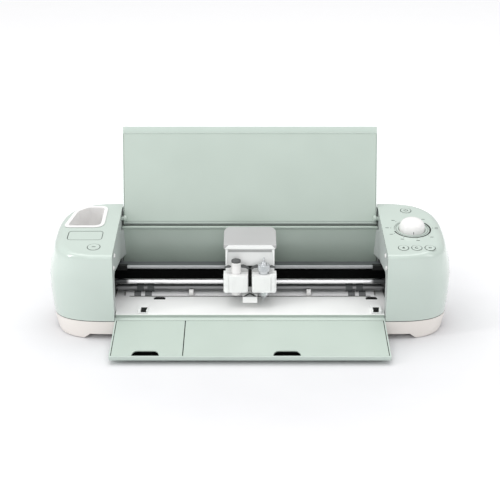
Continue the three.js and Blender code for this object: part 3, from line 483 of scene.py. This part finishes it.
def upright(points, front, back):
    """A plate that stands across the machine, through corners given as [x, z]."""
    plate = slab([(x, -z) for x, z in reversed(points)], 0, back - front)
    return placed(plate, 0, front, 0, (radians(-90), 0, 0))


def flipped(points):
    """The same outline on the machine's other side."""
    return [(-x, z) for x, z in reversed(points)]


def joined(*pieces):
    select_only(*pieces)
    bpy.ops.object.join()
    return bpy.context.object


def rim_strip(points, width, bottom, top):
    """A thin closed band that lies flat and follows an outline from inside."""
    bpy.ops.object.select_all(action="DESELECT")
    bpy.ops.mesh.primitive_circle_add(vertices=len(points), radius=mm, fill_type="NGON")
    piece = bpy.context.object
    for corner, (x, y) in zip(piece.data.vertices, points):
        corner.co = (x * mm, y * mm, bottom * mm)
    edit_all()
    bpy.ops.mesh.inset(thickness=width * mm, depth=0)
    bpy.ops.mesh.delete(type="FACE")
    bpy.ops.mesh.select_all(action="SELECT")
    bpy.ops.mesh.extrude_region_move(TRANSFORM_OT_translate={"value": (0, 0, (top - bottom) * mm)})
    bpy.ops.mesh.select_all(action="SELECT")
    bpy.ops.mesh.normals_make_consistent(inside=False)
    leave_edit()
    return piece


def rounded(width, depth, radius, steps=8):
    """Corners of a rectangle with rounded corners, centred on 0, 0."""
    corners = []
    for number, (side_x, side_y) in enumerate(((1, -1), (1, 1), (-1, 1), (-1, -1))):
        for step in range(steps + 1):
            turn = radians(-90 + 90 * number + 90 * step / steps)
            corners.append((side_x * (width / 2 - radius) + radius * cos(turn),
                            side_y * (depth / 2 - radius) + radius * sin(turn)))
    return corners


def bar(width, depth, x=0.0, y=0.0, bottom=0.0, top=INK_TOP):
    """A rectangular mark or plate centred on x, y."""
    half_wide, half_deep = width / 2, depth / 2
    return slab([
        (x - half_wide, y - half_deep), (x + half_wide, y - half_deep),
        (x + half_wide, y + half_deep), (x - half_wide, y + half_deep),
    ], bottom, top)


# ------------------------------------------------------------------ CAD pieces with softened edges
refine("left_tower_shell", mint_gloss, 0.5, 3)
refine("right_tower_shell", mint_gloss, 0.5, 3)
refine("base_tray", cream, 0.6, 3)
refine("rear_cover", mint_rear_painted_shade, 0.4)
refine("lid_shell", mint_gloss, 0.6, 3)
refine("lid_liner", mint_satin, 0.4)
refine("left_storage_cover", mint_satin, 0.25)
refine("right_storage_cover", mint_satin, 0.25)
refine("port_flap", mint_gloss, 0.35)
refine("dial_ring", mint_gloss, 0.35)
refine("port_well", grey_matt, 0.3)
refine("mat_bed", white_satin, 0.35)
for side, _ in SIDES:
    refine(side + "_inner_panel", grey_matt, 0.3)
    refine(side + "_mat_guide", white_satin, 0.5, 3)
    refine(side + "_roller_clip", white_gloss, 0.8, 3)
    refine(side + "_side_plate", side_plate_painted_shade, 0.15)
beam = refine("guide_beam", anodised, 0.4)
beam.data.materials.append(anodised_painted_top_sheen)
# faces on the beam's top that look up get the lighter grey: painted sheen
for face in beam.data.polygons:
    if face.normal.z > 0.7 and face.center.z > 72 * mm:
        face.material_index = 1
refine("upper_rod", coated_shaft, 0.4)
refine("lower_rod", chromed, 0.4)
refine("drive_roller", roller_steel, 0.1)
refine("pinch_shaft", satin_shaft, 0.3)
refine("drive_gear", white_satin, 0.1)
refine("roller_pinion", zinc_steel, 0.1)
refine("roller_motor", satin_shaft, 0.6)
refine("carriage_motor", satin_shaft, 0.6)
refine("motor_pulley", zinc_steel, 0.15)
refine("idler_pulley", zinc_steel, 0.15)
refine("drive_belt", rubber, 0.1)
refine("main_board", board_green, 0.0)
refine("panel_board", board_green, 0.0)
refine("usb_socket", zinc_steel, 0.25)
refine("power_socket", black_and_painted_shade, 0.3)
refine("carriage_cover", grey_cover_and_painted_shade, 0.9, 3)
refine("carriage_body", white_satin, 0.5)
refine("belt_clamp", grey_matt, 0.4)
for tool in ("accessory", "blade"):
    refine(tool + "_holder", white_satin, 0.5)
    refine(tool + "_clamp", white_satin, 0.7, 3)
for row in ("front", "rear"):
    for side, _ in SIDES:
        refine(f"{row}_{side}_foot", rubber, 0.4, 3)
refine("tool_cup", white_gloss, 0.45, 3)


# ------------------------------------------------------------------ storage door
# The door is drawn open. Its pockets are painted black as painted shade of their hollows, which shows in
# the finger notches.
DOOR_PIN = (-72.4, 26.8)
DOOR_OPENING = radians(101.3)
POCKET_Y, POCKET_Z, POCKET_HALF = (-77.2, -70.6), (32.8, 113.25), 180.6  # with the door shut
door = refine("door_shell", mint_gloss, 0.5, 3)
door.data.materials.append(black_and_painted_shade)
# the faces that lie inside the pockets with the door shut get the black, as painted shade
for face in door.data.polygons:
    centre = (face.center - at(0, *DOOR_PIN)) / mm
    shut_y = DOOR_PIN[0] + centre.y * cos(DOOR_OPENING) + centre.z * sin(DOOR_OPENING)
    shut_z = DOOR_PIN[1] - centre.y * sin(DOOR_OPENING) + centre.z * cos(DOOR_OPENING)
    inside_outline = POCKET_Z[0] < shut_z < POCKET_Z[1] and abs(centre.x) < POCKET_HALF
    if inside_outline and POCKET_Y[0] < shut_y < POCKET_Y[1]:
        face.material_index = 1


# ------------------------------------------------------------------ dial
DIAL = (224, -1)
knob = turned([
    (16.8, -4.8), (17.5, -4.4), (17.8, -3.6), (17.8, 1.6), (17.72, 3.2), (17.4, 5.2), (16.8, 7.2),
    (15.8, 9.2), (14.3, 11.1), (12.2, 12.7), (9.6, 13.9), (6.6, 14.7), (3.4, 15.1), (0.6, 15.2),
], 96)
soften(knob, 0)
stem = turned([(3.7, -15), (4.0, -14.7), (4.0, -4.7)], 40)
knob = joined(knob, stem)
on_deck(knob, *DIAL)
finish(knob, "dial_knob_cap", "dial", white_gloss, ["dial_knob"])
pointer = on_deck(bar(0.7, 1.4, 0, -17.2, 0.6, 4.2), *DIAL)
finish(pointer, "dial_pointer_mark", "dial", ink_and_painted_shade)

# a dark arc round the dial's front, painted shade of the gap round the knob, and generic scale marks
# outside it
MARK_ANGLES = (133, 175, 208, 241, 277, 315, 4, 56)
TICK_RADIUS, DOT_RADIUS = 34.2, 29.2
arc = on_deck(arc_strip(24.6, 26.3, 196, 205, 0.0, 0.14, 48), *DIAL)
finish(arc, "dial_arc_painted_shade", "machine", black_and_painted_shade)
for number, angle in enumerate(MARK_ANGLES):
    turn = radians(angle)
    tick = bar(4.6, 1.1, TICK_RADIUS * cos(turn), TICK_RADIUS * sin(turn))
    dot = bar(0.7, 1.5, DOT_RADIUS * cos(turn), DOT_RADIUS * sin(turn))
    mark = on_deck(joined(tick, dot), *DIAL)
    finish(mark, f"dial_scale_mark_{number + 1}", "machine", ink_and_painted_shade)


# ------------------------------------------------------------------ buttons with generic symbols
def button_cap(radius):
    """A round key with a slightly dished top and a rounded rim, on its stem."""
    cap = turned([
        (radius - 0.7, -5.0), (radius - 0.3, -4.6), (radius - 0.3, 0.1), (radius - 0.5, 0.5),
        (radius - 1.0, 0.7), (radius - 1.7, 0.66), (radius - 3.2, 0.5), (0.6, 0.4),
    ], 64)
    soften(cap, 0)
    stem = turned([(1.7, -14), (2.0, -13.7), (2.0, -4.9)], 24)
    return joined(cap, stem)


def triangle(size, y=0.0):
    return slab([(-size, y - size * 0.6), (size, y - size * 0.6), (0, y + size)], *SYMBOL)


BUTTONS = {
    "open_button": (-210, -52.5, 8.5, lambda: bar(5.0, 0.9, 0, 0, *SYMBOL)),
    "load_button": (206, -55, 6.9, lambda: joined(
        triangle(1.7, 0.6), bar(3.4, 0.7, 0, -1.6, *SYMBOL))),
    "cut_button": (223.8, -55, 6.9, lambda: arc_strip(1.7, 2.5, 50, 260, *SYMBOL)),
    "pause_button": (241.6, -55, 6.9, lambda: joined(
        bar(0.9, 3.6, -1.1, 0, *SYMBOL), bar(0.9, 3.6, 1.1, 0, *SYMBOL))),
    "power_button": (222, 53.5, 7.4, lambda: joined(
        arc_strip(2.3, 3.0, 125, 290, *SYMBOL), bar(0.7, 2.6, 0, 2.2, *SYMBOL))),
}
for button, (x, y, radius, symbol) in BUTTONS.items():
    cap = on_deck(button_cap(radius), x, y)
    finish(cap, button + "_cap", button, mint_gloss, [button])
    mark = on_deck(symbol(), x, y)
    finish(mark, button + "_symbol", button, ink_and_painted_shade)


# thin dark lines of painted shade round the keys, the port's cover and the dial: each has its place,
# width, depth, corner radius, steps round a corner and thickness
PORT = (-225.5, -20.2)
KEY_MARGIN = 0.55  # from a key's edge to its line's outer edge
LINES = {}
for button, (x, y, radius, symbol) in BUTTONS.items():
    reach = radius + KEY_MARGIN
    LINES[button] = (x, y, 2 * reach, 2 * reach, reach, 12, 0.6)
LINES["port"] = (*PORT, 48.0, 25.5, 5.5, 8, 0.6)
LINES["dial"] = (*DIAL, 44.6, 44.6, 22.3, 24, 0.4)
for name, (x, y, wide, deep, radius, steps, thickness) in LINES.items():
    line = on_deck(rim_strip(rounded(wide, deep, radius, steps), thickness, 0.0, 0.08), x, y)
    finish(line, name + "_shadow_line", "machine", ink_and_painted_shade)


# ------------------------------------------------------------------ rollers, bed and side walls
for number, x in enumerate((-155.2, -140.4, 140.4, 155.2)):
    tyre = turned([
        (5.15, -4.9), (5.35, -4.8), (5.58, -4.4), (5.62, -3.6), (5.62, -1.7), (5.45, -1.5), (5.45, -1.2),
        (5.62, -1.0), (5.62, 1.0), (5.45, 1.2), (5.45, 1.5), (5.62, 1.7), (5.62, 3.6), (5.58, 4.4),
        (5.35, 4.8), (5.15, 4.9),
    ], 64)
    soften(tyre, 0)
    placed(tyre, x, PINCH_Y, PINCH_Z, (0, radians(90), 0))
    finish(tyre, f"pinch_tyre_{number + 1}", "pinch_shaft", rubber_grey)


def oblong(length, width, steps=8):
    """Corners of a long shape with round ends."""
    radius = width / 2
    corners = []
    for side in (1, -1):
        for step in range(steps + 1):
            turn = radians(-90 + 180 * step / steps)
            corners.append((side * (length / 2 - radius + radius * cos(turn)), side * radius * sin(turn)))
    return corners


for number, (x, y) in enumerate(((-127, -9.6), (170.6, -9.6))):
    pad = slab(oblong(16.2, 10.0), 31.1, 32.4)
    soften(pad, 0.25)
    placed(pad, x, y)
    finish(pad, f"bed_sensor_window_{number + 1}", "machine", black_and_painted_shade)

# black plates on the mat guides' tops and inner faces: painted shade in their notches
for name, x in (("left", -144.6), ("right", 171.0)):
    slot = joined(
        slab([(-3.7, -4.9), (3.7, -4.9), (5.0, 5.0), (-3.7, 5.0)], 37.6, 37.98),
        slab([(-3.7, -5.0), (3.7, -5.0), (3.7, -4.7), (-3.7, -4.7)], 34.9, 37.9),
    )
    placed(slot, x, -62)
    finish(slot, name + "_mat_guide_slot_painted_shade", "machine", black_and_painted_shade)

# small domed pins on the side walls: stops for the lid's and the door's links
for side_name, side in SIDES:
    for number, (y, z) in enumerate(((-50, 110.5), (-63.3, 97.6))):
        pin = turned([(3.0, 0), (3.0, 0.7), (2.8, 1.2), (2.2, 1.6), (1.3, 1.8), (0.3, 1.85)], 32)
        soften(pin, 0)
        placed(pin, side * (BAY_HALF + 0.5), y, z, (0, radians(-90 * side), 0))
        finish(pin, f"{side_name}_wall_pin_{number + 1}", "machine", white_gloss)


# ------------------------------------------------------------------ carriage
fascia = upright([(-35, 113.6), (35, 113.6), (29.4, 119.0), (-29.4, 119.0)], -32.3, -31.5)
soften(fascia, 0.3)
finish(fascia, "carriage_fascia", "carriage", white_satin)
CHEEK = [(30.2, 112.6), (32.2, 90.4), (33.5, 90.4), (33.5, 112.6)]
for side_name, side in SIDES:
    cheek = upright(CHEEK if side > 0 else flipped(CHEEK), -30.6, -24.3)
    soften(cheek, 0.4)
    finish(cheek, "carriage_cheek_" + side_name, "carriage", white_satin)

# the pen adapter: a white tube with a grooved collar and a dark cap
adapter = turned([
    (5.6, 48.0), (6.2, 48.3), (TOOL_RADIUS, 49.0), (TOOL_RADIUS, 90.6), (6.3, 91.0), (6.1, 91.3),
    (6.1, 92.0), (6.3, 92.3), (TOOL_RADIUS, 92.7), (TOOL_RADIUS, 94.6), (6.4, 94.9), (5.6, 95.0),
], 56)
soften(adapter, 0)
placed(adapter, -TOOL_X, TOOL_Y)
finish(adapter, "accessory_adapter_tube", "accessory_holder", white_gloss,
       ["accessory_adapter"])
cap = turned([
    (5.5, 95.0), (6.4, 95.05), (TOOL_RADIUS, 95.4), (TOOL_RADIUS, 97.2), (6.3, 98.1), (5.5, 98.6),
    (4.2, 98.75), (0.5, 98.8),
], 56)
soften(cap, 0)
placed(cap, -TOOL_X, TOOL_Y)
finish(cap, "accessory_adapter_cap", "accessory_holder", grey_dark)

# the blade housing: bright turned body, knurled collar, plunger, and the blade's point
housing = turned([
    (0.45, 42.0), (2.6, 42.0), (5.2, 47.0), (6.4, 47.6), (TOOL_RADIUS, 48.0), (TOOL_RADIUS, 82.6),
    (7.0, 82.65), (7.0, 91.4), (6.6, 91.8), (4.4, 92.1), (4.1, 92.5), (4.0, 94.6), (3.7, 95.0),
    (1.5, 95.1), (1.2, 95.5), (1.2, 101.1), (0.9, 101.5),
], 56)
soften(housing, 0)
blade = turned([(0.12, 37.4), (0.5, 38.8), (0.6, 42.2)], 16)
housing = joined(housing, blade)
placed(housing, TOOL_X, TOOL_Y)
finish(housing, "blade_housing_body", "blade_holder", turned_bright, ["blade_housing"])


def knurled_ring(inner, outer, bottom, top, teeth=30):
    """A collar with straight knurling: ridges and valleys alternate round it."""
    points = []
    for step in range(teeth * 4):
        radius = outer if step % 4 in (0, 1) else outer - 0.55
        turn = 2 * pi * step / (teeth * 4)
        points.append((radius * cos(turn), radius * sin(turn)))
    ring = slab(points, bottom, top)
    soften(ring, 0.12, 1)
    return ring


collar = knurled_ring(7.0, 8.2, 82.8, 91.2)
placed(collar, TOOL_X, TOOL_Y)
finish(collar, "blade_housing_collar", "blade_holder", turned_bright)

# a raised panel and two ribs on each clamp's front, and hinge knuckles at its outer side
RIBS = ((9.2, 19.0, 0.3), (21.4, 22.2, 0.45), (24.4, 25.2, 0.45))
for tool, side in (("accessory", -1), ("blade", 1)):
    for number, (inner, outer, proud) in enumerate(RIBS):
        left, right = sorted((side * inner, side * outer))
        outline = [(left, 58), (right, 58), (right, 76), (left, 76)]
        rib = upright(outline, CLAMP_FRONT_Y - proud, CLAMP_FRONT_Y + 0.2)
        soften(rib, 0.15)
        finish(rib, f"{tool}_clamp_rib_{number + 1}", f"{tool}_clamp", white_satin)
    for number, z in enumerate((57.5, 67, 76.5)):
        knuckle = turned([(4.4, z - 1.6), (4.85, z - 1.3), (4.85, z + 1.3), (4.4, z + 1.6)], 40)
        soften(knuckle, 0)
        placed(knuckle, side * HINGE_X, HINGE_Y)
        finish(knuckle, f"{tool}_hinge_knuckle_{number + 1}", f"{tool}_holder", white_satin)


# black strip down the middle of the carriage, between the two holders: painted shade in the gap between
# them
outline = [(-2.3, 56), (2.3, 56), (2.3, 81.5), (4.6, 86.5), (-4.6, 86.5), (-2.3, 81.5)]
middle_shade = upright(outline, -25.4, CARRIAGE_FRONT_Y)
soften(middle_shade, 0.2)
finish(middle_shade, "carriage_middle_painted_shade", "carriage", black_and_painted_shade)
# grey plate under the fascia, in the recess above the tools: painted shade under the fascia's overhang
outline = [(-29.6, 106.4), (29.6, 106.4), (29.6, 113.6), (-29.6, 113.6)]
recess_shade = upright(outline, -24.9, CARRIAGE_FRONT_Y)
soften(recess_shade, 0.3)
finish(recess_shade, "carriage_recess_painted_shade", "carriage", grey_cover_and_painted_shade)
# grey hood over the white block at the foot of the carriage; its black edges are painted shade at its
# chamfered corners
for name, points, front, back, material in (
        ("edge", [(-10.2, 49.6), (10.2, 49.6), (1.6, 54.9), (-1.6, 54.9)], -47.3, -46.5, black_and_painted_shade),
        ("face", [(-7.4, 49.6), (7.4, 49.6), (0.9, 53.3), (-0.9, 53.3)], -47.7, -47.1, satin_shaft)):
    hood = upright(points, front, back)
    soften(hood, 0.15)
    finish(hood, "carriage_hood_" + name, "carriage", material)

# each holder has a dark grey spring arm behind its tool, and a small foot knob
ARM_INNER = [
    (-12.5, 86.3), (-6, 85.4), (-1.7, 83.2), (-0.5, 84.8), (-4.5, 89.0), (-9, 90.8), (-12.5, 90.4)]
ARM_OUTER = [(-35.0, 85.5), (-27, 86.2), (-25.5, 88.6), (-29.5, 90.0), (-35.0, 87.8)]
for tool, side in (("accessory", -1), ("blade", 1)):
    for name, outline in (("inner", ARM_INNER), ("outer", ARM_OUTER)):
        arm = upright(outline if side < 0 else flipped(outline), -31.6, -30.0)
        soften(arm, 0.4)
        finish(arm, f"{tool}_spring_arm_{name}", f"{tool}_holder", grey_dark)
    knob = turned([
        (0.4, 49.6), (1.4, 49.8), (2.0, 50.5), (2.1, 51.4), (1.7, 52.3), (1.2, 52.8), (1.2, 54.8)], 32)
    soften(knob, 0)
    placed(knob, side * 28.0, -31.0)
    finish(knob, tool + "_foot_knob", f"{tool}_holder", white_gloss)


# ------------------------------------------------------------------ painted shade in the joints, sill and end caps
def base_outline(side_inset, front_inset, steps=40):
    """The base's plan, drawn in by a distance at the sides and another at the front and back."""
    right = []
    for step in range(steps + 1):
        turn = pi * (step / steps - 0.5)
        side = max(cos(turn), 0)
        front = abs(sin(turn)) ** (2 / 3) * (1 if sin(turn) > 0 else -1)
        inset = front_inset + (side_inset - front_inset) * side ** 2
        x = BAY_HALF + (TOWER_REACH - inset) * side ** (2 / 3)
        right.append((x, (HALF_DEPTH - inset) * front))
    return right


# black strip in the open joint between each tower's shell and the base: painted shade in the seam
outline = base_outline(4.2, 1.9) + base_outline(6.2, 3.9)[::-1]
for side_name, side in SIDES:
    strip = placed(slab(outline if side > 0 else flipped(outline), 25.45, 26.65), 0, 0)
    finish(strip, side_name + "_seam_painted_shade", "machine", black_and_painted_shade)

# mint sill in front of the bed, above the door's hinge
sill = upright([(-182.3, 27.2), (182.3, 27.2), (182.3, 32.2), (-182.3, 32.2)], -69.85, -69.35)
soften(sill, 0.15)
finish(sill, "door_sill", "machine", mint_satin)

# black strip along the front of the roller's slot in the bed: painted shade at the slot's edge
edge = bar(340, 2.2, 0, 0, 32.5, 32.72)
placed(edge, 0, -2.8)
finish(edge, "roller_slot_painted_shade", "machine", black_and_painted_shade)

# black plate behind the rear cover's upper lip: painted shade in the gap under the lid
seal = upright([(-181.5, 112), (181.5, 112), (181.5, 120.4), (-181.5, 120.4)], 52.9, 54.0)
soften(seal, 0.3)
finish(seal, "rear_cover_painted_shade", "machine", black_and_painted_shade)

# black end caps over the beam, in which the upper rod ends
for side_name, side in SIDES:
    left, right = sorted((side * 172, side * 189))
    block = upright([(left, 70.8), (right, 70.8), (right, 77.4), (left, 77.4)], -0.6, 8.4)
    soften(block, 0.5)
    finish(block, "beam_end_cap_" + side_name, "machine", black_and_painted_shade)


# ------------------------------------------------------------------ screws under the base
SCREWS = ((-205, -60), (205, -60), (-205, 62), (205, 62), (-70, 50), (70, 50))


def screw_head(radius=3.0):
    """A pan-head screw seen from below, with a cross recess."""
    head = turned([(radius, 0), (radius, 0.6), (radius * 0.85, 1.1), (radius * 0.5, 1.4), (0.4, 1.45)], 32)
    soften(head, 0)
    cross = joined(bar(radius * 1.1, 0.7, 0, 0, 0.9, 2.0), bar(0.7, radius * 1.1, 0, 0, 0.9, 2.0))
    select_only(head)
    recess = head.modifiers.new("recess", "BOOLEAN")
    recess.operation = "DIFFERENCE"
    recess.solver = "EXACT"
    recess.use_self = True
    recess.object = cross
    bpy.ops.object.modifier_apply(modifier=recess.name)
    bpy.data.objects.remove(cross)
    return head


for number, (x, y) in enumerate(SCREWS):
    head = placed(screw_head(), x, y, 7.4, (pi, 0, 0))
    finish(head, f"base_screw_{number + 1}", "machine", zinc_steel)


# ------------------------------------------------------------------ floor, light and camera
bpy.ops.object.select_all(action="DESELECT")
bpy.ops.mesh.primitive_plane_add(size=30)
floor = bpy.context.object
floor.name = "floor"
floor.data.materials.append(studio_floor())
floor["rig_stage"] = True

world = bpy.data.worlds.new("studio")
scene.world = world
world.use_nodes = True
world.node_tree.nodes["Background"].inputs["Color"].default_value = linear("#ffffff")
world.node_tree.nodes["Background"].inputs["Strength"].default_value = 0.62


def softbox(name, place, target, size, power):
    light = bpy.data.lights.new(name, "AREA")
    light.shape = "RECTANGLE"
    light.size, light.size_y = size
    light.energy = power
    lamp = bpy.data.objects.new(name, light)
    scene.collection.objects.link(lamp)
    lamp.location = place
    lamp.rotation_euler = (Vector(target) - Vector(place)).to_track_quat("-Z", "Y").to_euler()


softbox("top_softbox", (-0.15, 0.25, 1.9), (0, 0, 0), (2.6, 1.4), 22)
softbox("front_softbox", (-0.3, -2.6, 1.5), (0, 0, 0.15), (2.4, 0.8), 14)
softbox("left_softbox", (-2.1, -0.8, 1.15), (0, 0, 0.1), (0.4, 1.0), 13)
softbox("right_softbox", (1.7, -0.6, 1.1), (0.1, 0, 0.1), (0.4, 1.2), 4)

CAMERA_DISTANCE, CAMERA_HEIGHT, LOOKING_DOWN = 1496.0, 630.6, 19.5
camera = bpy.data.objects.new("camera", bpy.data.cameras.new("camera"))
scene.collection.objects.link(camera)
camera.location = at(0, -CAMERA_DISTANCE, CAMERA_HEIGHT)
camera.rotation_euler = (radians(90 - LOOKING_DOWN), 0, 0)
camera.data.lens = 82.0
camera.data.sensor_width = 36.0
camera.data.clip_end = 50
scene.camera = camera

low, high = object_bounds()
